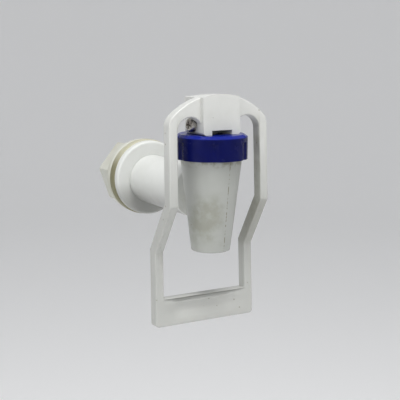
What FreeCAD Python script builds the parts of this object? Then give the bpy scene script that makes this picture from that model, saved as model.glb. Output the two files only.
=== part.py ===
import FreeCAD, Part
import math
import os

# Water tap with a push frame. Millimetres, +Z up, -Y towards the user.
# The origin is the centre of the flange's panel side, on the shank's axis.

# Flange and shank
flange_radius = 16.6
flange_thickness = 3.0
flange_edge_radius = 1.1
shank_radius = 10.4
shank_length = 23.0
shank_end_chamfer = 0.8
inlet_socket_radius = 7.0
inlet_socket_depth = 10.0
passage_radius = 5.2

# Neck, from the flange to the spout
neck_radius = 10.8
neck_end_radius = 8.6
neck_taper_length = 12.0
neck_drop = 0.4
neck_root_rounding = 1.0

# Spout, a cone on a vertical axis
spout_reach = 55.0
spout_drop = 22.8
spout_tip_radius = 7.9
spout_tip_rounding = 0.6
shoulder_height = 14.65
shoulder_radius = 12.45
outlet_radius = 5.6
outlet_depth = 10.0

# Valve chamber and seat inside the spout
chamber_floor_height = -7.0
chamber_floor_radius = 7.0
collar_radius = 11.9
collar_wall = 1.9
seat_height = 5.0
seat_radius = 5.0
seat_bore_radius = 3.8

# Screwed ring on top of the spout
ring_radius = 14.6
ring_bottom_height = 14.8
ring_edge_height = 23.75
ring_chamfer_rise = 1.0
ring_chamfer_width = 1.5
ring_top_thickness = 2.2
ring_thread_clearance = 0.15
ring_grip_count = 6
ring_grip_radius = 3.4
ring_grip_depth = 0.55
ring_grip_band = 1.9
ring_grip_angle = 243.5

# Stem
stem_radius = 2.4
stem_running_clearance = 0.06
stem_collar_radius = 4.4
stem_collar_thickness = 1.4
stem_neck_radius = 1.8
stem_neck_length = 1.6
stem_foot_radius = 3.2
stem_foot_thickness = 1.6
lug_half_width = 4.3
lug_eye_wall = 1.7
lug_lift = 0.4

# Silicone valve seal
seal_rim_thickness = 1.2
seal_rim_radius = 11.7
seal_bell_radius = 9.2
seal_wall = 0.9
seal_plug_radius = 5.2
seal_floor = 1.2

# Return spring
spring_wire_radius = 0.35
spring_radius = 3.35
spring_turns = 8

# Pivot and pivot screw
pivot_above_ring = 3.75
screw_radius = 1.5
screw_running_clearance = 0.06
screw_head_radius = 2.85
screw_head_height = 2.3
screw_head_clearance = 0.25
screw_end_cover = 1.4
screw_recess_width = 0.75
screw_recess_length = 3.0
screw_recess_depth = 1.0

# Push-frame lever, in its own frame about the pivot
lever_tilt = -2.5
arm_front = 6.1
arm_depth = 4.8
arm_half_span = 22.7
bar_splay = 0.6
arm_width = 3.8
bend_top = 31.4
bend_bottom = 51.3
bend_step = 13.05
bar_top = 70.5
bar_height = 11.5
arch_crown = 12.05
arch_radius = 31.0
arch_shoulder_radius = 6.0
window_radius = 5.7
window_drop = 2.35
block_half_width = 8.45
block_proud = 2.0
block_back = 6.5
block_back_drop = 0.9
block_foot_rounding = 1.2
block_front_wall = 1.35
block_back_wall = 1.8
cavity_side_clearance = 0.35
cavity_top = 5.0
notch_height = 1.85
foot_gap = 0.1
bend_radius = 1.2
arm_edge_radius = 0.5
bar_corner_radius = 1.5

# Panel washer and lock nut
washer_radius = 17.0
washer_thickness = 5.0
washer_edge_radius = 1.4
nut_thickness = 15.5
nut_flats = 26.0
nut_turn = -9.5
nut_collar_radius = 16.7
nut_collar_thickness = 3.6
nut_collar_rounding = 1.3
nut_chamfer = 0.8

X_AXIS = FreeCAD.Vector(1, 0, 0)
Y_AXIS = FreeCAD.Vector(0, 1, 0)
Z_AXIS = FreeCAD.Vector(0, 0, 1)

spout_y = -spout_reach
ring_top_height = ring_edge_height + ring_chamfer_rise
ring_ceiling_height = ring_top_height - ring_top_thickness
rim_height = ring_ceiling_height - seal_rim_thickness
pivot = FreeCAD.Vector(0, spout_y, ring_top_height + pivot_above_ring)
nut_back = washer_thickness + nut_thickness
bar_half_span = arm_half_span + bar_splay


def point(x, y, z):
    return FreeCAD.Vector(x, y, z)


def face_of(edges):
    return Part.Face(Part.Wire(Part.__sortEdges__(edges)))


def polygon(points):
    return Part.Face(Part.makePolygon(points + [points[0]]))


def turned(profile):
    """Solid turned about the spout's axis from (radius, height) pairs."""
    points = [point(radius, spout_y, height) for radius, height in profile]
    return polygon(points).revolve(point(0, spout_y, 0), Z_AXIS, 360)


def turned_on_shank(profile):
    """Solid turned about the shank's axis from (radius, y) pairs."""
    points = [point(radius, y, 0) for radius, y in profile]
    return polygon(points).revolve(point(0, 0, 0), Y_AXIS, 360)


def upright(radius, bottom, top, x=0.0, y=spout_y):
    return Part.makeCylinder(radius, top - bottom, point(x, y, bottom), Z_AXIS)


def along_shank(radius, start, end):
    return Part.makeCylinder(radius, end - start, point(0, start, 0), Y_AXIS)


def across(radius, start, length):
    """Cylinder on the pivot's axis, from start towards +X."""
    return Part.makeCylinder(radius, length, point(start, pivot.y, pivot.z), X_AXIS)


def box(x_low, x_high, y_low, y_high, z_low, z_high):
    return Part.makeBox(x_high - x_low, y_high - y_low, z_high - z_low, point(x_low, y_low, z_low))


def along(edge, direction):
    """Whether a straight edge runs along a direction."""
    if not isinstance(edge.Curve, Part.Line):
        return False
    return abs(abs(edge.Curve.Direction.dot(direction)) - 1) < 1e-6


def circles_at(shape, radius, place):
    """Circular edges of one radius whose centre passes a test."""
    found = []
    for edge in shape.Edges:
        curve = edge.Curve
        if isinstance(curve, Part.Circle) and abs(curve.Radius - radius) < 1e-4 and place(curve.Center):
            found.append(edge)
    return found


def make_neck():
    """Round neck, rounded off where it meets the flange and tapered into the spout."""
    taper_y = spout_y + neck_taper_length
    neck = Part.makeCylinder(neck_radius, -flange_thickness - taper_y, point(0, taper_y, -neck_drop), Y_AXIS)
    root = circles_at(neck, neck_radius, lambda c: c.y > taper_y + 1)
    neck = neck.makeFillet(neck_root_rounding, root)
    taper = Part.makeCone(neck_end_radius, neck_radius, neck_taper_length, point(0, spout_y, -neck_drop), Y_AXIS)
    return neck.fuse(taper)


def make_flange():
    disc = along_shank(flange_radius, -flange_thickness, 0)
    rim = circles_at(disc, flange_radius, lambda c: c.y < -flange_thickness / 2)
    return disc.makeFillet(flange_edge_radius, rim)


def make_body():
    """Spout, neck, flange and shank in one moulding, with its water way."""
    cone = turned([
        (0, -spout_drop),
        (spout_tip_radius, -spout_drop),
        (shoulder_radius, shoulder_height),
        (collar_radius, shoulder_height),
        (collar_radius, rim_height),
        (0, rim_height),
    ])
    tip_edge = circles_at(cone, spout_tip_radius, lambda c: c.z < chamber_floor_height)
    cone = cone.makeFillet(spout_tip_rounding, tip_edge)
    shank = along_shank(shank_radius, -flange_thickness / 2, shank_length)
    shank_end = circles_at(shank, shank_radius, lambda c: c.y > shank_length / 2)
    shank = shank.makeChamfer(shank_end_chamfer, shank_end)
    solid = cone.fuse([make_neck(), make_flange(), shank])

    chamber_top_radius = collar_radius - collar_wall
    chamber = turned([
        (seat_radius, chamber_floor_height),
        (chamber_floor_radius, chamber_floor_height),
        (chamber_top_radius, rim_height),
        (0, rim_height),
        (0, seat_height),
        (seat_radius, seat_height),
    ])
    outlet = upright(outlet_radius, -spout_drop, -spout_drop + outlet_depth)
    seat_bore = upright(seat_bore_radius, -spout_drop, seat_height)
    passage_end = spout_y + (seat_radius + chamber_floor_radius) / 2
    passage = along_shank(passage_radius, passage_end, shank_length)
    socket = along_shank(inlet_socket_radius, shank_length - inlet_socket_depth, shank_length)
    return solid.cut([chamber, outlet, seat_bore, passage, socket])


def make_cap_ring():
    """Screwed ring with a plain top band and upright finger grips below it."""
    inner_radius = collar_radius + ring_thread_clearance
    guide_radius = stem_radius + stem_running_clearance
    ring = turned([
        (inner_radius, ring_bottom_height),
        (ring_radius, ring_bottom_height),
        (ring_radius, ring_edge_height),
        (ring_radius - ring_chamfer_width, ring_top_height),
        (guide_radius, ring_top_height),
        (guide_radius, ring_ceiling_height),
        (inner_radius, ring_ceiling_height),
    ])
    grip_top = ring_edge_height - ring_grip_band
    centre_radius = ring_radius - ring_grip_depth + ring_grip_radius
    grips = []
    for step in range(ring_grip_count):
        angle = math.radians(ring_grip_angle + 360.0 / ring_grip_count * step)
        x = centre_radius * math.cos(angle)
        y = spout_y + centre_radius * math.sin(angle)
        grips.append(upright(ring_grip_radius, ring_bottom_height, grip_top, x, y))
    return ring.cut(grips)


def make_stem():
    """Round stem with a foot held in the seal and a lug with the pivot's eye."""
    foot_bottom = seat_height + seal_floor
    neck_bottom = foot_bottom + stem_foot_thickness
    collar_bottom = neck_bottom + stem_neck_length
    collar_top = collar_bottom + stem_collar_thickness
    shaft = turned([
        (0, foot_bottom),
        (stem_foot_radius, foot_bottom),
        (stem_foot_radius, neck_bottom),
        (stem_neck_radius, neck_bottom),
        (stem_neck_radius, collar_bottom),
        (stem_collar_radius, collar_bottom),
        (stem_collar_radius, collar_top),
        (stem_radius, collar_top),
        (stem_radius, pivot.z),
        (0, pivot.z),
    ])
    eye_radius = screw_radius + screw_running_clearance
    boss_radius = eye_radius + lug_eye_wall
    lug_bottom = ring_top_height + lug_lift
    boss = across(boss_radius, -lug_half_width, 2 * lug_half_width)
    web = box(-lug_half_width, lug_half_width, spout_y - stem_radius, pivot.y + boss_radius,
              lug_bottom, pivot.z)
    eye = across(eye_radius, -lug_half_width, 2 * lug_half_width)
    return shaft.fuse([boss, web]).cut(eye).removeSplitter()


def seal_socket_heights():
    foot_bottom = seat_height + seal_floor
    neck_bottom = foot_bottom + stem_foot_thickness
    plug_top = neck_bottom + stem_neck_length
    return foot_bottom, neck_bottom, plug_top


def make_valve_seal():
    """Bell of silicone: clamped rim, thin wall and a plug that closes the seat."""
    foot_bottom, neck_bottom, plug_top = seal_socket_heights()
    return turned([
        (0, seat_height),
        (seal_plug_radius, seat_height),
        (seal_plug_radius, plug_top),
        (seal_bell_radius, rim_height),
        (seal_rim_radius, rim_height),
        (seal_rim_radius, ring_ceiling_height),
        (seal_bell_radius - seal_wall, ring_ceiling_height),
        (seal_bell_radius - seal_wall, rim_height),
        (stem_collar_radius + stem_running_clearance, plug_top),
        (stem_neck_radius, plug_top),
        (stem_neck_radius, neck_bottom),
        (stem_foot_radius, neck_bottom),
        (stem_foot_radius, foot_bottom),
        (0, foot_bottom),
    ])


def make_return_spring():
    """Round wire spring with flat ground ends."""
    plug_top = seal_socket_heights()[2]
    bottom = plug_top + stem_collar_thickness
    length = ring_ceiling_height - bottom
    pitch = length / spring_turns
    helix = Part.makeHelix(pitch, length, spring_radius)
    section = Part.Wire(Part.Circle(point(spring_radius, 0, 0), Y_AXIS, spring_wire_radius).toShape())
    coil = Part.Wire(helix.Edges).makePipeShell([section], True, True)
    coil.translate(point(0, spout_y, bottom))
    room = upright(spring_radius + 2 * spring_wire_radius, bottom, ring_ceiling_height)
    return coil.common(room)


def make_pivot_screw():
    """Pan head screw through the block and the stem's eye."""
    head_face = -block_half_width - screw_head_height
    shank = across(screw_radius, -block_half_width, 2 * block_half_width - screw_end_cover)
    head = across(screw_head_radius, head_face, screw_head_height)
    crown = circles_at(head, screw_head_radius, lambda c: c.x < -block_half_width - screw_head_height / 2)
    head = head.makeFillet(screw_head_height / 2, crown)
    half_length = screw_recess_length / 2
    half_width = screw_recess_width / 2
    slots = [
        box(head_face, head_face + screw_recess_depth, pivot.y - half_length, pivot.y + half_length,
            pivot.z - half_width, pivot.z + half_width),
        box(head_face, head_face + screw_recess_depth, pivot.y - half_width, pivot.y + half_width,
            pivot.z - half_length, pivot.z + half_length),
    ]
    return shank.fuse(head).cut(slots)


def bent_profile():
    """Side view of the lever, about the pivot, with its two bends rounded."""
    front = -arm_front
    back = front + arm_depth
    # A bent strip of even thickness has its two sides offset along the bend's half angle.
    slope = math.atan2(bend_step, bend_bottom - bend_top)
    shift = arm_depth * math.tan(slope / 2)
    corners = [
        (front, arch_crown, 0),
        (front, -bend_top, bend_radius),
        (front + bend_step, -bend_bottom, bend_radius),
        (front + bend_step, -bar_top - bar_height, 0),
        (back + bend_step, -bar_top - bar_height, 0),
        (back + bend_step, -bend_bottom + shift, bend_radius),
        (back, -bend_top + shift, bend_radius),
        (back, arch_crown, 0),
    ]
    return rounded_polygon(corners, lambda u, v: point(0, u, v))


def rounded_polygon(corners, place):
    """Face with arcs at its corners; each corner is (u, v, radius)."""
    count = len(corners)
    edges = []
    ends = []
    for index, (u, v, radius) in enumerate(corners):
        here = place(u, v)
        before = place(*corners[index - 1][:2])
        after = place(*corners[(index + 1) % count][:2])
        if radius == 0:
            ends.append((here, here))
            continue
        to_before = (before - here).normalize()
        to_after = (after - here).normalize()
        half = to_before.getAngle(to_after) / 2
        reach = radius / math.tan(half)
        start = here + to_before * reach
        end = here + to_after * reach
        bisector = (to_before + to_after).normalize()
        middle = here + bisector * (radius / math.sin(half) - radius)
        edges.append(Part.Arc(start, middle, end).toShape())
        ends.append((start, end))
    for index in range(count):
        leave = ends[index][1]
        arrive = ends[(index + 1) % count][0]
        edges.append(Part.LineSegment(leave, arrive).toShape())
    return face_of(edges)


def outer_outline(depth_low, depth):
    """Front view of the lever without its opening: arch, arms and bar."""
    low = -bar_top - bar_height
    # Three-centred arch: a wide crown arc between two tangent shoulder arcs.
    crown_centre = arch_crown - arch_radius
    shoulder_x = arm_half_span - arch_shoulder_radius
    centres_apart = arch_radius - arch_shoulder_radius
    spring_line = crown_centre + math.sqrt(centres_apart ** 2 - shoulder_x ** 2)
    lean = math.atan2(shoulder_x, spring_line - crown_centre)
    join_x = arch_radius * math.sin(lean)
    join_z = crown_centre + arch_radius * math.cos(lean)
    edges = [Part.Arc(point(-join_x, 0, join_z), point(0, 0, arch_crown), point(join_x, 0, join_z)).toShape()]
    half_turn = (lean + math.pi / 2) / 2
    for side in (-1, 1):
        middle_x = shoulder_x + arch_shoulder_radius * math.sin(half_turn)
        middle_z = spring_line + arch_shoulder_radius * math.cos(half_turn)
        edges.append(Part.Arc(point(side * join_x, 0, join_z), point(side * middle_x, 0, middle_z),
                              point(side * arm_half_span, 0, spring_line)).toShape())
    sides = [
        point(arm_half_span, 0, spring_line),
        point(bar_half_span, 0, low),
        point(-bar_half_span, 0, low),
        point(-arm_half_span, 0, spring_line),
    ]
    for start, end in zip(sides, sides[1:]):
        edges.append(Part.LineSegment(start, end).toShape())
    solid = face_of(edges).extrude(Y_AXIS * depth)
    corners = [e for e in solid.Edges if along(e, Y_AXIS) and e.CenterOfMass.z < low + 1]
    solid = solid.makeFillet(bar_corner_radius, corners)
    solid.translate(Y_AXIS * depth_low)
    return solid


def inner_opening(depth_low, depth):
    """Opening between the arms, with a round window each side of the block."""
    inner_top = arm_half_span - arm_width
    inner_bar = bar_half_span - arm_width
    slot = polygon([
        point(inner_top, depth_low, -window_drop),
        point(inner_bar, depth_low, -bar_top),
        point(-inner_bar, depth_low, -bar_top),
        point(-inner_top, depth_low, -window_drop),
    ]).extrude(Y_AXIS * depth)
    window_x = inner_top - window_radius
    windows = []
    for side in (-1, 1):
        centre = point(side * window_x, depth_low, -window_drop)
        windows.append(Part.makeCylinder(window_radius, depth, centre, Y_AXIS))
    return slot.fuse(windows)


def soft_edges(shape):
    """Edges round the front and back faces of the bent strip."""
    found = []
    for edge in shape.Edges:
        centre = edge.CenterOfMass
        on_bend = along(edge, X_AXIS) and -bend_bottom - arm_depth < centre.z < -bend_top + arm_depth
        if not on_bend and not along(edge, Y_AXIS):
            found.append(edge)
    return found


def make_frame():
    """Arch, bent arms and push bar, about the pivot."""
    half_width = max(arm_half_span, bar_half_span)
    strip = bent_profile().extrude(X_AXIS * (2 * half_width))
    strip.translate(X_AXIS * -half_width)
    front = -arm_front - block_proud
    depth = bend_step + arm_depth + 2 * block_proud
    frame = strip.common(outer_outline(front, depth)).cut(inner_opening(front, depth))
    frame = frame.removeSplitter().Solids[0]
    return frame.makeFillet(arm_edge_radius, soft_edges(frame))


def make_block():
    """Block round the pivot, standing proud of the arch, with a sloped back top."""
    front = -arm_front - block_proud
    depth = block_back - front
    foot = -pivot_above_ring - arm_depth
    block = box(-block_half_width, block_half_width, front, block_back, foot, arch_crown)
    slope = polygon([
        point(-block_half_width, 0, arch_crown),
        point(-block_half_width, block_back, arch_crown - block_back_drop),
        point(-block_half_width, block_back, arch_crown),
    ]).extrude(X_AXIS * (2 * block_half_width))
    return block.cut(slope).common(outer_outline(front, depth))


def make_lever():
    """One moulding: arch, bent arms, push bar and the block round the pivot."""
    lever = make_frame().fuse(make_block())
    lever.rotate(point(0, 0, 0), X_AXIS, lever_tilt)
    lever.translate(pivot)

    foot_height = ring_top_height + foot_gap
    front_face = pivot.y - arm_front - block_proud
    back_face = pivot.y + block_back
    below_feet = box(-arm_half_span, arm_half_span, front_face - arm_depth, back_face + arm_depth,
                     foot_height - ring_radius, foot_height)
    block_room = box(-block_half_width - arm_edge_radius, block_half_width + arm_edge_radius,
                     front_face - arm_depth, back_face + arm_depth,
                     foot_height - ring_radius, pivot.z + arch_crown)
    below_feet = below_feet.common(block_room)
    cavity_half_width = lug_half_width + cavity_side_clearance
    cavity = box(-cavity_half_width, cavity_half_width, front_face + block_front_wall,
                 back_face - block_back_wall, foot_height, pivot.z + cavity_top)
    notch = box(-cavity_half_width, cavity_half_width, front_face - arm_depth, back_face + arm_depth,
                foot_height, foot_height + notch_height)
    hole = across(screw_radius, -block_half_width, 2 * block_half_width - screw_end_cover)
    room_radius = screw_head_radius + screw_head_clearance
    room_depth = screw_head_height + screw_head_clearance
    head_room = across(room_radius, -block_half_width - room_depth, room_depth)
    lever = lever.cut([below_feet, cavity, notch, hole, head_room])
    feet = [e for e in lever.Edges if abs(e.CenterOfMass.z - foot_height) < 1e-3
            and abs(abs(e.CenterOfMass.x) - block_half_width) < 1e-3]
    return lever.makeFillet(block_foot_rounding, feet)


def make_panel_washer():
    disc = along_shank(washer_radius, 0, washer_thickness)
    rims = circles_at(disc, washer_radius, lambda c: True)
    disc = disc.makeFillet(washer_edge_radius, rims)
    return disc.cut(along_shank(shank_radius, 0, washer_thickness))


def make_lock_nut():
    """Hexagon nut with a round collar towards the washer."""
    corner_radius = nut_flats / math.sqrt(3)
    corners = []
    for step in range(6):
        angle = math.radians(nut_turn + 60 * step)
        x = corner_radius * math.cos(angle)
        z = corner_radius * math.sin(angle)
        corners.append(point(x, washer_thickness, z))
    hexagon = polygon(corners).extrude(Y_AXIS * nut_thickness)
    envelope = turned_on_shank([
        (0, washer_thickness),
        (corner_radius, washer_thickness),
        (corner_radius, nut_back - nut_chamfer / 2),
        (corner_radius - nut_chamfer, nut_back),
        (0, nut_back),
    ])
    collar = along_shank(nut_collar_radius, washer_thickness, washer_thickness + nut_collar_thickness)
    rims = circles_at(collar, nut_collar_radius, lambda c: True)
    collar = collar.makeFillet(nut_collar_rounding, rims)
    solid = hexagon.common(envelope).fuse(collar)
    return solid.cut(along_shank(shank_radius, washer_thickness, nut_back))


def main():
    os.makedirs("parts", exist_ok=True)
    makers = {
        "body": make_body,
        "cap_ring": make_cap_ring,
        "stem": make_stem,
        "valve_seal": make_valve_seal,
        "return_spring": make_return_spring,
        "pivot_screw": make_pivot_screw,
        "lever": make_lever,
        "panel_washer": make_panel_washer,
        "lock_nut": make_lock_nut,
    }
    for name, maker in makers.items():
        shape = maker()
        solids = shape.Solids
        print(name, "solids", len(solids), "valid", shape.isValid(), "volume", round(shape.Volume, 2))
        shape.exportStep("parts/%s.step" % name)


main()
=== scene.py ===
import bmesh
import bpy
import math
from mathutils import Matrix, Vector


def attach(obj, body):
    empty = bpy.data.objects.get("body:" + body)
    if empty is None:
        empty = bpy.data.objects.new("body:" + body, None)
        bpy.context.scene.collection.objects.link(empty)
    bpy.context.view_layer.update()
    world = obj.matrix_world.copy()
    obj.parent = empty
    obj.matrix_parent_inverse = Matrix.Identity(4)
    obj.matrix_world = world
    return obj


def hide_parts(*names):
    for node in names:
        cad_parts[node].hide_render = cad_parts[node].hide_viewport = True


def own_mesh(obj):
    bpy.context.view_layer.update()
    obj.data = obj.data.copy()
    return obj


# Water tap with a push frame. Metres, +Z up, -Y towards the user, +Y along the shank.
mm = 0.001

# Camera at the photograph's view
camera_place = Vector((-0.20180, -0.38570, 0.06463))
camera_direction = Vector((0.50364, 0.84694, -0.17043))
camera_up = Vector((0.08274, 0.14908, 0.98536))
camera_lens = 87.293
sensor_width = 36.0
nearest_seen = 0.01

# Floor with its edge swept up all round, and studio light
floor_height = -0.30
floor_radius = 1.5
sweep_radius = 1.1
sweep_wall = 1.1
sweep_steps = 16
floor_sectors = 96
floor_tint = (0.95, 0.95, 0.95, 1)
floor_roughness = 0.9
world_tint = (0.97, 0.98, 1.0, 1)
world_strength = 0.52
lit_middle = Vector((0, -0.04, 0))
lamps = (
    # name, place, size, power in watts
    ("top_light", Vector((-0.10, -0.34, 0.70)), 0.40, 4.9),
    ("key_light", Vector((0.22, -0.68, 0.36)), 0.30, 0.7),
    ("left_light", Vector((-0.95, -0.35, 0.30)), 0.70, 2.4),
)

# Places and sizes on the tap
spout_y = -55.0 * mm
ring_bottom = 14.8 * mm
ring_edge = 23.75 * mm
ring_ceiling = 22.55 * mm
shank_radius = 10.4 * mm
shank_end = 23.0 * mm
parting_line_x = 1.4 * mm

# Shank with its bore and its pipe thread
panel_side_margin = 0.05 * mm
passage_radius = 5.22 * mm
socket_radius = 7.0 * mm
socket_floor = 13.0 * mm
shank_chamfer = 0.8 * mm
thread_pitch = 25.4 / 14 * mm
thread_depth = 1.16 * mm
thread_groove_width = 1.42 * mm
thread_root_flat = 0.16 * mm
thread_groove_overreach = 0.25 * mm
thread_start = 1.2 * mm
thread_steps_per_turn = 64
shank_sectors = 96

# Return spring
spring_bottom = 10.8 * mm
spring_radius = 3.35 * mm
spring_wire_radius = 0.35 * mm
spring_turns = 8.0
spring_steps_per_turn = 32
wire_corners = 14

# Shallow hollow along the push bar's front, as depths pressed in at distances below its top
bar_window_foot = -40.0 * mm
bar_inner_side = 19.0 * mm
bar_full_hollow = 11.0 * mm
bar_column_width = 2.0 * mm
bar_columns_each_side = 8
bar_hollow = [(below * mm, pressed_in * mm) for below, pressed_in in (
    (0.0, 2.2), (1.2, 1.5), (2.4, 0.9), (3.6, 1.3), (4.9, 1.7), (6.6, 1.3), (8.4, 0.5), (10.4, 0.0))]

# Rounding of sharp edges, and how copies are joined
ring_rounding = 0.3 * mm
lever_rounding = 0.45 * mm
nut_rounding = 0.5 * mm
rounding_steps = 3
sharp_angle = math.radians(32)
flat_angle = math.radians(0.4)
weld_distance = 0.002 * mm
floor_weld_distance = 0.01 * mm

# Colours of the plastics, clean first and aged or handled second
body_whites = ((0.67, 0.68, 0.655, 1), (0.62, 0.63, 0.60, 1))
lever_whites = ((0.61, 0.615, 0.59, 1), (0.57, 0.575, 0.545, 1))
ring_blues = ((0.0012, 0.003, 0.066, 1), (0.001, 0.0025, 0.052, 1))
nut_creams = ((0.54, 0.545, 0.49, 1), (0.49, 0.485, 0.41, 1))
stem_greys = ((0.30, 0.31, 0.28, 1), (0.18, 0.18, 0.16, 1))
seal_milks = ((0.80, 0.80, 0.76, 1), (0.72, 0.71, 0.64, 1))
washer_olives = ((0.47, 0.455, 0.35, 1), (0.42, 0.405, 0.28, 1))
spring_greys = ((0.62, 0.63, 0.64, 1), (0.40, 0.41, 0.42, 1))
screw_greys = ((0.55, 0.53, 0.48, 1), (0.14, 0.11, 0.10, 1))

# Colours of wear and dirt, and of painted shade and painted light
underside_shade_grey = (0.24, 0.24, 0.225, 1)
neck_foot_shade_grey = (0.20, 0.20, 0.185, 1)
spout_grey = (0.25, 0.26, 0.235, 1)
lower_shade_grey = (0.44, 0.445, 0.42, 1)
inner_side_shade_grey = (0.27, 0.27, 0.23, 1)
right_bend_shade_grey = (0.25, 0.245, 0.20, 1)
lit_edge_blue = (0.004, 0.012, 0.20, 1)
blue_dust = (0.10, 0.12, 0.26, 1)
washer_dirt = (0.15, 0.14, 0.065, 1)
grime_and_shade = (0.19, 0.18, 0.12, 1)
olive_dirt = (0.22, 0.22, 0.16, 1)

# Where wear, dirt and painted shade fade in on the body, from none to all of it
spout_from_y = (-42.5 * mm, -44.5 * mm)
underside_shade_from_z = (1 * mm, -11 * mm)
underside_shade_from_y = (-44 * mm, -41 * mm)
neck_foot_shade_from_z = (-2 * mm, -9.5 * mm)
ring_grime_and_shade_from_z = (ring_bottom - 3.4 * mm, ring_bottom - 0.4 * mm)
parting_line_from_y = (spout_y, spout_y - 4 * mm)

# Bands of dirt and painted shade on the body: where they start and end, and how far they fade beyond that
neck_foot_shade_band_y = (-42 * mm, -4 * mm, 1 * mm)
spout_cloud_band_x = (-9 * mm, -1 * mm, 3 * mm)
spout_cloud_band_z = (-15 * mm, -3 * mm, 7 * mm)
parting_line_band_x = (parting_line_x - 0.11 * mm, parting_line_x + 0.11 * mm, 0.12 * mm)

# The same for the lever
lower_shade_from_z = (26 * mm, -4 * mm)
inner_side_shade_band_aside = (12 * mm, 19.15 * mm, 0.3 * mm)
inner_side_shade_from_top_z = (34 * mm, 24 * mm)
inner_side_shade_from_foot_z = (-41 * mm, -38 * mm)
right_bend_shade_from_x = (8 * mm, 12 * mm)
right_bend_shade_band_z = (-21 * mm, -5 * mm, 4 * mm)
streaks_from_top_z = (30 * mm, 20 * mm)
streaks_from_foot_z = (-44 * mm, -38 * mm)

# The same for the ring and the washer
lit_edge_from_z = (ring_edge - 0.5 * mm, ring_edge + 0.2 * mm)
washer_dirt_from_z = (14 * mm, 4 * mm)

# How far light spreads under the surface, in metres of red, green and blue
plastic_spread = (0.002, 0.002, 0.0018)
silicone_spread = (0.002, 0.002, 0.002)
washer_spread = (0.002, 0.0018, 0.001)


# Shader helpers

def add(tree, kind, inputs=None, **settings):
    """A shader node whose inputs are sockets to link or values to set."""
    made = tree.nodes.new(kind)
    for name, value in settings.items():
        setattr(made, name, value)
    for name, value in (inputs or {}).items():
        socket = made.inputs[name]
        if isinstance(value, bpy.types.NodeSocket):
            tree.links.new(value, socket)
        else:
            socket.default_value = value
    return made


def math_of(tree, operation, first, second=0.0):
    """Result of one sum on a value or two."""
    return add(tree, "ShaderNodeMath", {0: first, 1: second}, operation=operation).outputs[0]


def product(tree, *values):
    """All the values multiplied together."""
    total = values[0]
    for value in values[1:]:
        total = math_of(tree, "MULTIPLY", total, value)
    return total


def ramp(tree, value, start, end, low=0.0, high=1.0):
    """Smooth step of a value from low to high between start and end."""
    made = add(tree, "ShaderNodeMapRange",
               {"Value": value, "From Min": start, "From Max": end, "To Min": low, "To Max": high},
               interpolation_type="SMOOTHSTEP")
    return made.outputs["Result"]


def band(tree, value, low, high, softness):
    """One inside a range of a value, falling to zero over the softness outside it."""
    rising = ramp(tree, value, low - softness, low)
    falling = ramp(tree, value, high, high + softness, 1.0, 0.0)
    return product(tree, rising, falling)


def set_mix(tree, mask, under, over):
    """Colour mix whose colour sockets are picked by type."""
    made = tree.nodes.new("ShaderNodeMix")
    made.data_type = "RGBA"
    colours = [s for s in made.inputs if s.type == "RGBA"]
    result = [s for s in made.outputs if s.type == "RGBA"][0]
    for socket, value in ((made.inputs[0], mask), (colours[0], under), (colours[1], over)):
        if isinstance(value, bpy.types.NodeSocket):
            tree.links.new(value, socket)
        else:
            socket.default_value = value
    return result


def new_group(name, inputs, outputs):
    """Shader node group with named sockets; returns its tree, its input and output nodes."""
    tree = bpy.data.node_groups.new(name, "ShaderNodeTree")
    for socket_name, socket_type, value in inputs:
        socket = tree.interface.new_socket(socket_name, in_out="INPUT", socket_type=socket_type)
        if value is not None:
            socket.default_value = value
    for socket_name, socket_type in outputs:
        tree.interface.new_socket(socket_name, in_out="OUTPUT", socket_type=socket_type)
    return tree, tree.nodes.new("NodeGroupInput"), tree.nodes.new("NodeGroupOutput")


def use_group(tree, group, **values):
    """A group node with its sockets linked or set; an underscore stands for a space in their names."""
    made = tree.nodes.new("ShaderNodeGroup")
    made.node_tree = group
    for name, value in values.items():
        socket = made.inputs[name.replace("_", " ")]
        if isinstance(value, bpy.types.NodeSocket):
            tree.links.new(value, socket)
        else:
            socket.default_value = value
    return made


FLOAT = "NodeSocketFloat"
VECTOR = "NodeSocketVector"


def make_specks_group():
    """Sparse small dark specks: round cells of which only a share is kept."""
    tree, given, out = new_group("specks", [
        ("Place", VECTOR, None), ("Scale", FLOAT, 400.0), ("Size", FLOAT, 0.2), ("Share", FLOAT, 0.2),
    ], [("Mask", FLOAT)])
    cells = add(tree, "ShaderNodeTexVoronoi",
                {"Vector": given.outputs["Place"], "Scale": given.outputs["Scale"]})
    near = math_of(tree, "SUBTRACT", given.outputs["Size"], cells.outputs["Distance"])
    round_speck = ramp(tree, near, 0.0, 0.08)
    chance = add(tree, "ShaderNodeSeparateColor", {"Color": cells.outputs["Color"]}).outputs[0]
    kept = math_of(tree, "LESS_THAN", chance, given.outputs["Share"])
    tree.links.new(product(tree, round_speck, kept), out.inputs["Mask"])
    return tree


def make_patches_group():
    """Soft uneven patches from two sizes of noise."""
    tree, given, out = new_group("patches", [
        ("Place", VECTOR, None), ("Scale", FLOAT, 60.0), ("Low", FLOAT, 0.4), ("High", FLOAT, 0.7),
    ], [("Mask", FLOAT)])
    noise = add(tree, "ShaderNodeTexNoise",
                {"Vector": given.outputs["Place"], "Scale": given.outputs["Scale"], "Detail": 5.0,
                 "Roughness": 0.6})
    mask = ramp(tree, noise.outputs[0], given.outputs["Low"], given.outputs["High"])
    tree.links.new(mask, out.inputs["Mask"])
    return tree


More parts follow.
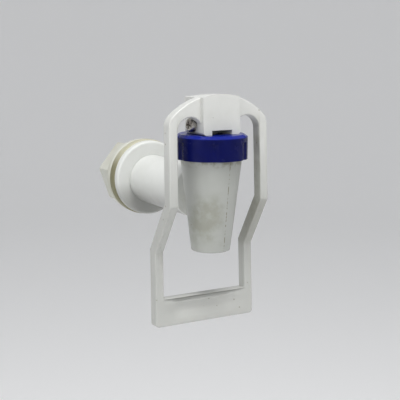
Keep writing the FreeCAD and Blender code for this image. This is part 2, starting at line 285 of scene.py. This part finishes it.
def make_moulded_skin_group():
    """Faint waviness and grain of moulded plastic, as a normal and a roughness."""
    tree, given, out = new_group("moulded skin", [
        ("Place", VECTOR, None), ("Grain Height", FLOAT, 0.02), ("Wave Height", FLOAT, 0.1),
        ("Smoothest", FLOAT, 0.3), ("Roughest", FLOAT, 0.5),
    ], [("Normal", VECTOR), ("Roughness", FLOAT)])
    place = given.outputs["Place"]
    grain = add(tree, "ShaderNodeTexNoise", {"Vector": place, "Scale": 2600.0, "Detail": 3.0})
    wave = add(tree, "ShaderNodeTexNoise", {"Vector": place, "Scale": 120.0, "Detail": 2.0})
    fine = add(tree, "ShaderNodeBump",
               {"Strength": given.outputs["Grain Height"], "Distance": 0.1 * mm,
                "Height": grain.outputs[0]})
    broad = add(tree, "ShaderNodeBump",
                {"Strength": given.outputs["Wave Height"], "Distance": 0.4 * mm, "Height": wave.outputs[0],
                 "Normal": fine.outputs[0]})
    patchy = add(tree, "ShaderNodeTexNoise", {"Vector": place, "Scale": 210.0, "Detail": 4.0})
    roughness = ramp(tree, patchy.outputs[0], 0.3, 0.7,
                     given.outputs["Smoothest"], given.outputs["Roughest"])
    tree.links.new(broad.outputs[0], out.inputs["Normal"])
    tree.links.new(roughness, out.inputs["Roughness"])
    return tree


specks = make_specks_group()
patches = make_patches_group()
moulded_skin = make_moulded_skin_group()


def new_material(name):
    """Material with its tree, its principled shader and its place on the part."""
    material = bpy.data.materials.new(name)
    material.use_nodes = True
    tree = material.node_tree
    shader = tree.nodes["Principled BSDF"]
    place = tree.nodes.new("ShaderNodeTexCoord").outputs["Object"]
    return material, tree, shader, place


def finish_plastic(tree, shader, place, colour, smoothest, roughest, grain=0.05, wave=0.1):
    """Links a colour and the moulded skin to the shader."""
    skin = use_group(tree, moulded_skin, Place=place, Grain_Height=grain, Wave_Height=wave,
                     Smoothest=smoothest, Roughest=roughest)
    tree.links.new(colour, shader.inputs["Base Color"])
    tree.links.new(skin.outputs["Normal"], shader.inputs["Normal"])
    tree.links.new(skin.outputs["Roughness"], shader.inputs["Roughness"])


def axes_of(tree, place):
    """The x, y and z of a place."""
    split = add(tree, "ShaderNodeSeparateXYZ", {"Vector": place})
    return split.outputs[0], split.outputs[1], split.outputs[2]


# Materials

def make_body_plastic():
    """White moulded plastic with painted shade on the lower side of the neck, grime and painted shade
    under the ring, a darker spout with dirt on its lower left, and a specked parting line.
    """
    material, tree, shader, place = new_material("body_plastic")
    x, y, z = axes_of(tree, place)
    on_spout = ramp(tree, y, *spout_from_y)

    tone = use_group(tree, patches, Place=place, Scale=45.0, Low=0.35, High=0.65).outputs[0]
    colour = set_mix(tree, tone, *body_whites)
    # Painted shade: the lower side of the neck is mixed towards a grey.
    shaded_underside = product(tree, ramp(tree, z, *underside_shade_from_z), ramp(tree, y, *underside_shade_from_y))
    colour = set_mix(tree, product(tree, shaded_underside, 0.72), colour, underside_shade_grey)
    # Painted shade: a further darker grey along the bottom of the neck.
    shaded_neck_foot = product(tree, ramp(tree, z, *neck_foot_shade_from_z), band(tree, y, *neck_foot_shade_band_y))
    colour = set_mix(tree, product(tree, shaded_neck_foot, 0.55), colour, neck_foot_shade_grey)
    # The whole spout is painted darker than the neck and flange.
    colour = set_mix(tree, product(tree, on_spout, 0.62), colour, spout_grey)

    cloud = use_group(tree, patches, Place=place, Scale=110.0, Low=0.38, High=0.68).outputs[0]
    lower_left = product(tree, band(tree, x, *spout_cloud_band_x), band(tree, z, *spout_cloud_band_z))
    colour = set_mix(tree, product(tree, cloud, lower_left, on_spout, 0.55), colour, olive_dirt)

    # Ragged grime that is also painted shade, in a band just under the ring.
    ragged = use_group(tree, patches, Place=place, Scale=420.0, Low=0.42, High=0.60).outputs[0]
    grime_and_shade_under_ring = product(tree, ragged, on_spout, ramp(tree, z, *ring_grime_and_shade_from_z))
    colour = set_mix(tree, product(tree, grime_and_shade_under_ring, 0.75), colour, grime_and_shade)

    broken = add(tree, "ShaderNodeTexNoise", {"Vector": place, "Scale": 900.0, "Detail": 2.0})
    on_line = product(tree, band(tree, x, *parting_line_band_x), ramp(tree, y, *parting_line_from_y),
                      ramp(tree, broken.outputs[0], 0.46, 0.54))
    colour = set_mix(tree, on_line, colour, grime_and_shade)

    dots = use_group(tree, specks, Place=place, Scale=420.0, Size=0.20, Share=0.05).outputs[0]
    colour = set_mix(tree, product(tree, dots, 0.6), colour, grime_and_shade)
    shader.inputs["Subsurface Weight"].default_value = 0.08
    shader.inputs["Subsurface Radius"].default_value = plastic_spread
    finish_plastic(tree, shader, place, colour, 0.28, 0.42)
    return material


def make_lever_plastic():
    """White moulded plastic, painted darker lower down as painted shade, with mottled painted shade on the
    inner sides of the arms and about the right arm's bend, faint streaks and specks.
    """
    material, tree, shader, place = new_material("lever_plastic")
    x, _, z = axes_of(tree, place)
    tone = use_group(tree, patches, Place=place, Scale=70.0, Low=0.35, High=0.65).outputs[0]
    colour = set_mix(tree, tone, *lever_whites)
    # Painted shade: the lever is mixed towards grey lower down.
    lower_shade = ramp(tree, z, *lower_shade_from_z)
    colour = set_mix(tree, product(tree, lower_shade, 0.75), colour, lower_shade_grey)

    # Painted shade on the inner sides of the arms, with mottled patches of it in a grime colour.
    from_middle = math_of(tree, "ABSOLUTE", x)
    shaded_inner_side = product(tree, band(tree, from_middle, *inner_side_shade_band_aside),
                         ramp(tree, z, *inner_side_shade_from_top_z), ramp(tree, z, *inner_side_shade_from_foot_z))
    mottled = use_group(tree, patches, Place=place, Scale=300.0, Low=0.25, High=0.75).outputs[0]
    colour = set_mix(tree, product(tree, shaded_inner_side, 0.28), colour, inner_side_shade_grey)
    # Painted shade about the right arm's bend, beside the spout.
    shaded_right_bend = product(tree, band(tree, z, *right_bend_shade_band_z), ramp(tree, x, *right_bend_shade_from_x))
    colour = set_mix(tree, product(tree, shaded_right_bend, 0.40), colour, right_bend_shade_grey)
    colour = set_mix(tree, product(tree, shaded_inner_side, mottled, 0.35), colour, grime_and_shade)

    stretched = add(tree, "ShaderNodeMapping", {"Vector": place, "Scale": (1.0, 1.0, 0.06)}).outputs[0]
    streaks = use_group(tree, patches, Place=stretched, Scale=900.0, Low=0.52, High=0.75).outputs[0]
    on_arms = product(tree, ramp(tree, z, *streaks_from_foot_z), ramp(tree, z, *streaks_from_top_z))
    colour = set_mix(tree, product(tree, streaks, on_arms, 0.28), colour, olive_dirt)
    dots = use_group(tree, specks, Place=place, Scale=480.0, Size=0.20, Share=0.07).outputs[0]
    colour = set_mix(tree, product(tree, dots, 0.65), colour, grime_and_shade)
    shader.inputs["Subsurface Weight"].default_value = 0.06
    shader.inputs["Subsurface Radius"].default_value = plastic_spread
    finish_plastic(tree, shader, place, colour, 0.28, 0.42)
    return material


def make_ring_plastic():
    """Deep blue glossy plastic, painted paler at its top edge as painted light from above, with sparse
    dust.
    """
    material, tree, shader, place = new_material("ring_plastic")
    tone = use_group(tree, patches, Place=place, Scale=150.0, Low=0.35, High=0.70).outputs[0]
    colour = set_mix(tree, tone, *ring_blues)
    _, _, z = axes_of(tree, place)
    # Painted light: the top edge and chamfer are paler blue.
    lit_edge = ramp(tree, z, *lit_edge_from_z)
    colour = set_mix(tree, lit_edge, colour, lit_edge_blue)
    dust = use_group(tree, specks, Place=place, Scale=900.0, Size=0.14, Share=0.03).outputs[0]
    colour = set_mix(tree, product(tree, dust, 0.4), colour, blue_dust)
    shader.inputs["Specular IOR Level"].default_value = 0.17
    finish_plastic(tree, shader, place, colour, 0.16, 0.30, 0.03, 0.06)
    return material


def make_nut_plastic():
    """Cream plastic, a little yellowed in patches."""
    material, tree, shader, place = new_material("nut_plastic")
    tone = use_group(tree, patches, Place=place, Scale=80.0, Low=0.35, High=0.70).outputs[0]
    colour = set_mix(tree, tone, *nut_creams)
    dots = use_group(tree, specks, Place=place, Scale=420.0, Size=0.2, Share=0.04).outputs[0]
    colour = set_mix(tree, product(tree, dots, 0.5), colour, grime_and_shade)
    finish_plastic(tree, shader, place, colour, 0.34, 0.5)
    return material


def make_stem_plastic():
    """Greyed white plastic of the stem, darkened further as painted shade for the dark gap under the
    lever, with grease in patches.
    """
    material, tree, shader, place = new_material("stem_plastic")
    tone = use_group(tree, patches, Place=place, Scale=160.0, Low=0.40, High=0.60).outputs[0]
    colour = set_mix(tree, tone, *stem_greys)
    finish_plastic(tree, shader, place, colour, 0.25, 0.4)
    return material


def make_seal_silicone():
    """Milky silicone, soft and faintly mottled."""
    material, tree, shader, place = new_material("seal_silicone")
    tone = use_group(tree, patches, Place=place, Scale=120.0, Low=0.35, High=0.70).outputs[0]
    colour = set_mix(tree, tone, *seal_milks)
    shader.inputs["Subsurface Weight"].default_value = 0.2
    shader.inputs["Subsurface Radius"].default_value = silicone_spread
    finish_plastic(tree, shader, place, colour, 0.4, 0.55)
    return material


def make_washer_silicone():
    """Yellowed silicone washer, darker and dirtier low down."""
    material, tree, shader, place = new_material("washer_silicone")
    _, _, z = axes_of(tree, place)
    tone = use_group(tree, patches, Place=place, Scale=90.0, Low=0.35, High=0.70).outputs[0]
    colour = set_mix(tree, tone, *washer_olives)
    low_side = ramp(tree, z, *washer_dirt_from_z)
    colour = set_mix(tree, product(tree, low_side, 0.85), colour, washer_dirt)
    dots = use_group(tree, specks, Place=place, Scale=520.0, Size=0.2, Share=0.08).outputs[0]
    colour = set_mix(tree, product(tree, dots, 0.6), colour, grime_and_shade)
    shader.inputs["Subsurface Weight"].default_value = 0.12
    shader.inputs["Subsurface Radius"].default_value = washer_spread
    finish_plastic(tree, shader, place, colour, 0.4, 0.58)
    return material


def make_steel(name, greys, smoothest, roughest, dirt_share):
    """Plated steel with dark patches."""
    material, tree, shader, place = new_material(name)
    tone = use_group(tree, patches, Place=place, Scale=700.0, Low=0.40, High=0.64).outputs[0]
    colour = set_mix(tree, product(tree, tone, dirt_share), *greys)
    shader.inputs["Metallic"].default_value = 1.0
    finish_plastic(tree, shader, place, colour, smoothest, roughest, 0.1, 0.15)
    return material


# Floor, light and camera

def make_floor():
    """Pale paper floor whose edge sweeps up into a wall all round."""
    profile = [(0.0, 0.0), (0.25 * floor_radius, 0.0), (floor_radius, 0.0)]
    for step in range(1, sweep_steps + 1):
        angle = math.pi / 2 * step / sweep_steps
        profile.append((floor_radius + sweep_radius * math.sin(angle),
                        sweep_radius * (1 - math.cos(angle))))
    profile.append((floor_radius + sweep_radius, sweep_radius + sweep_wall))

    mesh = bmesh.new()
    points = [mesh.verts.new((radius, 0, height)) for radius, height in profile]
    edges = [mesh.edges.new(pair) for pair in zip(points, points[1:])]
    bmesh.ops.spin(mesh, geom=points + edges, cent=(0, 0, 0), axis=(0, 0, 1), angle=2 * math.pi,
                   steps=floor_sectors, use_merge=True)
    bmesh.ops.remove_doubles(mesh, verts=mesh.verts, dist=floor_weld_distance)
    bmesh.ops.recalc_face_normals(mesh, faces=mesh.faces)
    for face in mesh.faces:
        face.smooth = True
    data = bpy.data.meshes.new("floor")
    mesh.to_mesh(data)
    mesh.free()
    floor = bpy.data.objects.new("floor", data)
    floor.location = (0, spout_y, floor_height)
    bpy.context.scene.collection.objects.link(floor)

    material = bpy.data.materials.new("floor_paper")
    material.use_nodes = True
    shader = material.node_tree.nodes["Principled BSDF"]
    shader.inputs["Base Color"].default_value = floor_tint
    shader.inputs["Roughness"].default_value = floor_roughness
    data.materials.append(material)


def make_lamp(name, place, size, power):
    """Round soft lamp that looks at the middle of the tap."""
    data = bpy.data.lights.new(name, "AREA")
    data.shape = "DISK"
    data.size = size
    data.energy = power
    lamp = bpy.data.objects.new(name, data)
    lamp.location = place
    lamp.rotation_euler = (lit_middle - place).to_track_quat("-Z", "Y").to_euler()
    bpy.context.scene.collection.objects.link(lamp)


def make_world():
    """Even pale light from all sides."""
    world = bpy.data.worlds.new("studio")
    world.use_nodes = True
    background = world.node_tree.nodes["Background"]
    background.inputs["Color"].default_value = world_tint
    background.inputs["Strength"].default_value = world_strength
    bpy.context.scene.world = world
    bpy.context.scene.view_settings.view_transform = "Standard"


def make_camera():
    """Camera that stands and looks as the photograph's did."""
    data = bpy.data.cameras.new("photo_camera")
    data.sensor_width = sensor_width
    data.lens = camera_lens
    data.clip_start = nearest_seen
    camera = bpy.data.objects.new("photo_camera", data)
    back = -camera_direction.normalized()
    right = camera_up.cross(back).normalized()
    up = back.cross(right)
    turn = Matrix((right, up, back)).transposed().to_4x4()
    camera.matrix_world = Matrix.Translation(camera_place) @ turn
    bpy.context.scene.collection.objects.link(camera)
    bpy.context.scene.camera = camera


def dress(piece, material):
    """Gives a piece its finish."""
    piece.data.materials.clear()
    piece.data.materials.append(material)


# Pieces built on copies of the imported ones

def welded_copy(node, name):
    """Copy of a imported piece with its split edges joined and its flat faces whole."""
    mesh = bmesh.new()
    mesh.from_mesh(node.data)
    bmesh.ops.remove_doubles(mesh, verts=mesh.verts, dist=weld_distance)
    bmesh.ops.dissolve_limit(mesh, angle_limit=flat_angle, verts=mesh.verts, edges=mesh.edges)
    for face in mesh.faces:
        face.smooth = True
    data = bpy.data.meshes.new(name)
    mesh.to_mesh(data)
    mesh.free()
    if "custom_normal" in data.attributes:
        data.attributes.remove(data.attributes["custom_normal"])
    piece = bpy.data.objects.new(name, data)
    bpy.context.scene.collection.objects.link(piece)
    return piece


def applied(piece):
    """Puts a piece's modifiers into its mesh."""
    scene_graph = bpy.context.evaluated_depsgraph_get()
    made = bpy.data.meshes.new_from_object(piece.evaluated_get(scene_graph))
    piece.modifiers.clear()
    piece.data = made
    return piece


def soften(piece, width):
    """Rounds a piece's sharp edges."""
    bevel = piece.modifiers.new("soft_edges", "BEVEL")
    bevel.width = width
    bevel.segments = rounding_steps
    bevel.limit_method = "ANGLE"
    bevel.angle_limit = sharp_angle
    bevel.use_clamp_overlap = True
    bevel.harden_normals = True
    return applied(piece)


def helix_tree(name, profile_points):
    """Geometry nodes for a closed profile swept along a helix, with its material."""
    tree = bpy.data.node_groups.new(name, "GeometryNodeTree")
    tree.interface.new_socket("Geometry", in_out="OUTPUT", socket_type="NodeSocketGeometry")
    for socket_name, socket_type in (("Turns", FLOAT), ("Radius", FLOAT), ("Height", FLOAT),
                                     ("Steps", "NodeSocketInt"), ("Finish", "NodeSocketMaterial")):
        tree.interface.new_socket(socket_name, in_out="INPUT", socket_type=socket_type)
    given = tree.nodes.new("NodeGroupInput")
    out = tree.nodes.new("NodeGroupOutput")
    spiral = add(tree, "GeometryNodeCurveSpiral", {
        "Resolution": given.outputs["Steps"], "Rotations": given.outputs["Turns"],
        "Start Radius": given.outputs["Radius"], "End Radius": given.outputs["Radius"],
        "Height": given.outputs["Height"]})
    upright = add(tree, "GeometryNodeSetCurveNormal", {"Curve": spiral.outputs[0]})
    upright.mode = "Z_UP"
    profile = profile_points(tree)
    sweep = add(tree, "GeometryNodeCurveToMesh",
                {"Curve": upright.outputs[0], "Profile Curve": profile, "Fill Caps": True})
    real = add(tree, "GeometryNodeRealizeInstances", {"Geometry": sweep.outputs[0]})
    finish = add(tree, "GeometryNodeSetMaterial",
                 {"Geometry": real.outputs[0], "Material": given.outputs["Finish"]})
    tree.links.new(finish.outputs[0], out.inputs[0])
    return tree


def helix_piece(name, tree, **values):
    """Object whose mesh comes from a helix tree with the values given."""
    piece = bpy.data.objects.new(name, bpy.data.meshes.new(name))
    bpy.context.scene.collection.objects.link(piece)
    modifier = piece.modifiers.new("helix", "NODES")
    modifier.node_group = tree
    for item in tree.interface.items_tree:
        if item.in_out == "INPUT":
            modifier[item.identifier] = values[item.name.lower()]
    return applied(piece)


def groove_profile(tree):
    """V profile that points in towards the helix's axis."""
    half = thread_groove_width / 2
    flare = half * (1 + thread_groove_overreach / thread_depth)
    root = thread_root_flat / 2
    corners = add(tree, "GeometryNodeCurvePrimitiveQuadrilateral", {
        "Point 1": (thread_groove_overreach, flare, 0), "Point 2": (-thread_depth, root, 0),
        "Point 3": (-thread_depth, -root, 0), "Point 4": (thread_groove_overreach, -flare, 0)},
        mode="POINTS")
    return corners.outputs[0]


def wire_profile(tree):
    """Round section of the spring's wire."""
    circle = add(tree, "GeometryNodeCurvePrimitiveCircle",
                 {"Resolution": wire_corners, "Radius": spring_wire_radius})
    return circle.outputs[0]


def hollow_at(place, top):
    """How far the front of the push bar is pressed in at a place, deepest midway between the arms."""
    aside = (bar_inner_side - abs(place.x)) / (bar_inner_side - bar_full_hollow)
    share = min(max(aside, 0.0), 1.0)
    share = share * share * (3 - 2 * share)
    below = top - place.z
    for (start, start_depth), (end, end_depth) in zip(bar_hollow, bar_hollow[1:]):
        if start <= below <= end:
            return share * (start_depth + (end_depth - start_depth) * (below - start) / (end - start))
    return 0.0


def front_faces(mesh):
    """Faces on the front of the lever, below the foot of its window."""
    return [face for face in mesh.faces
            if face.normal.y < -0.9 and min(corner.co.z for corner in face.verts) < bar_window_foot]


def hollow_bar(piece):
    """Presses the hollow for the cup into the front of the push bar."""
    mesh = bmesh.new()
    mesh.from_mesh(piece.data)
    bar_top = max((face for face in mesh.faces
                   if face.normal.z > 0.9 and face.calc_center_median().z < bar_window_foot),
                  key=lambda face: face.calc_area())
    middle = bar_top.calc_center_median().y
    top = max(corner.co.z for corner in bar_top.verts)
    levels = [Vector((0, 0, top - below)) for below, _ in bar_hollow[1:]]
    columns = [Vector((column * bar_column_width, 0, 0))
               for column in range(-bar_columns_each_side, bar_columns_each_side + 1)]
    for places, across in ((levels, Vector((0, 0, 1))), (columns, Vector((1, 0, 0)))):
        for place in places:
            faces = front_faces(mesh)
            edges = {edge for face in faces for edge in face.edges}
            corners = {corner for face in faces for corner in face.verts}
            bmesh.ops.bisect_plane(mesh, geom=[*faces, *edges, *corners], plane_co=place, plane_no=across,
                                   dist=weld_distance)
    for corner in mesh.verts:
        if corner.co.y < middle and corner.co.z < bar_window_foot:
            corner.co.y += hollow_at(corner.co, top)
    mesh.to_mesh(piece.data)
    mesh.free()
    return piece


def exact_copy(node, name):
    """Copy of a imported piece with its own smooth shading."""
    piece = bpy.data.objects.new(name, node.data.copy())
    bpy.context.scene.collection.objects.link(piece)
    return piece


def make_body(node):
    """Body without its shank, which is a piece of its own."""
    body = exact_copy(node, "moulded_body")
    mesh = bmesh.new()
    mesh.from_mesh(body.data)
    beyond = [face for face in mesh.faces if face.calc_center_median().y > panel_side_margin]
    bmesh.ops.delete(mesh, geom=beyond, context="FACES")
    mesh.to_mesh(body.data)
    mesh.free()
    return body


def make_shank(material):
    """Shank with its water bore and a pipe thread cut along it."""
    profile = [
        (passage_radius, -thread_start), (shank_radius, -thread_start),
        (shank_radius, shank_end - shank_chamfer), (shank_radius - shank_chamfer, shank_end),
        (socket_radius, shank_end), (socket_radius, socket_floor), (passage_radius, socket_floor),
    ]
    mesh = bmesh.new()
    points = [mesh.verts.new((radius, place, 0)) for radius, place in profile]
    edges = [mesh.edges.new(pair) for pair in zip(points, points[1:] + points[:1])]
    bmesh.ops.spin(mesh, geom=points + edges, cent=(0, 0, 0), axis=(0, 1, 0), angle=2 * math.pi,
                   steps=shank_sectors, use_merge=True)
    bmesh.ops.remove_doubles(mesh, verts=mesh.verts, dist=weld_distance)
    bmesh.ops.recalc_face_normals(mesh, faces=mesh.faces)
    data = bpy.data.meshes.new("threaded_shank")
    mesh.to_mesh(data)
    mesh.free()
    shank = bpy.data.objects.new("threaded_shank", data)
    bpy.context.scene.collection.objects.link(shank)

    length = shank_end - thread_start + thread_pitch
    turns = length / thread_pitch
    groove = helix_piece("thread_groove", helix_tree("thread helix", groove_profile), turns=turns,
                         radius=shank_radius, height=length, steps=int(thread_steps_per_turn * turns),
                         finish=material)
    turn = Matrix.Rotation(math.radians(-90), 4, "X")
    groove.data.transform(Matrix.Translation((0, thread_start, 0)) @ turn)
    cut = shank.modifiers.new("thread", "BOOLEAN")
    cut.operation = "DIFFERENCE"
    cut.solver = "EXACT"
    cut.object = groove
    applied(shank)
    bpy.data.objects.remove(groove)
    shank.data.shade_smooth()
    shank.data.set_sharp_from_angle(angle=sharp_angle)
    return shank


def make_spring(material):
    """Return spring as a helix of wire."""
    length = ring_ceiling - spring_bottom - 2 * spring_wire_radius
    spring = helix_piece("spring_coil", helix_tree("spring helix", wire_profile), turns=spring_turns,
                         radius=spring_radius, height=length,
                         steps=int(spring_steps_per_turn * spring_turns), finish=material)
    spring.data.transform(Matrix.Translation((0, spout_y, spring_bottom + spring_wire_radius)))
    return spring


def squash_with_stem(piece):
    """Gives a piece its own copy of its mesh."""
    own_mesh(piece)


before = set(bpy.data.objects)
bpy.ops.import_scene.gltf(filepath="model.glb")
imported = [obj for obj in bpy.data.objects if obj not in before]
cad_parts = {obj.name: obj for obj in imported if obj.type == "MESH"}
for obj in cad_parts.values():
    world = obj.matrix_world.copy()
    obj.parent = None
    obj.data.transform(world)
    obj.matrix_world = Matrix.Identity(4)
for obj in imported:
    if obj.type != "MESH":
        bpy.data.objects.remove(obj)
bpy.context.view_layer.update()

finishes = {
    "body": make_body_plastic(),
    "cap_ring": make_ring_plastic(),
    "stem": make_stem_plastic(),
    "valve_seal": make_seal_silicone(),
    "return_spring": make_steel("spring_steel", spring_greys, 0.2, 0.35, 0.5),
    "pivot_screw": make_steel("screw_steel", screw_greys, 0.22, 0.4, 0.8),
    "lever": make_lever_plastic(),
    "panel_washer": make_washer_silicone(),
    "lock_nut": make_nut_plastic(),
}
for name, material in finishes.items():
    dress(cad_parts[name], material)

shank = make_shank(finishes["body"])
dress(shank, finishes["body"])
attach(shank, "housing")
rebuilt = {
    "body": make_body(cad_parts["body"]),
    "cap_ring": soften(welded_copy(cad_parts["cap_ring"], "moulded_ring"), ring_rounding),
    "lever": soften(hollow_bar(welded_copy(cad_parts["lever"], "moulded_lever")), lever_rounding),
    "lock_nut": soften(welded_copy(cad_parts["lock_nut"], "moulded_nut"), nut_rounding),
    "return_spring": make_spring(finishes["return_spring"]),
    "valve_seal": exact_copy(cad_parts["valve_seal"], "silicone_bell"),
}
for name, piece in rebuilt.items():
    dress(piece, finishes[name])
    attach(piece, "lever" if name == "lever" else "housing")
    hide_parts(name)
squash_with_stem(rebuilt["return_spring"])
squash_with_stem(rebuilt["valve_seal"])

make_floor()
for lamp_values in lamps:
    make_lamp(*lamp_values)
make_world()
make_camera()
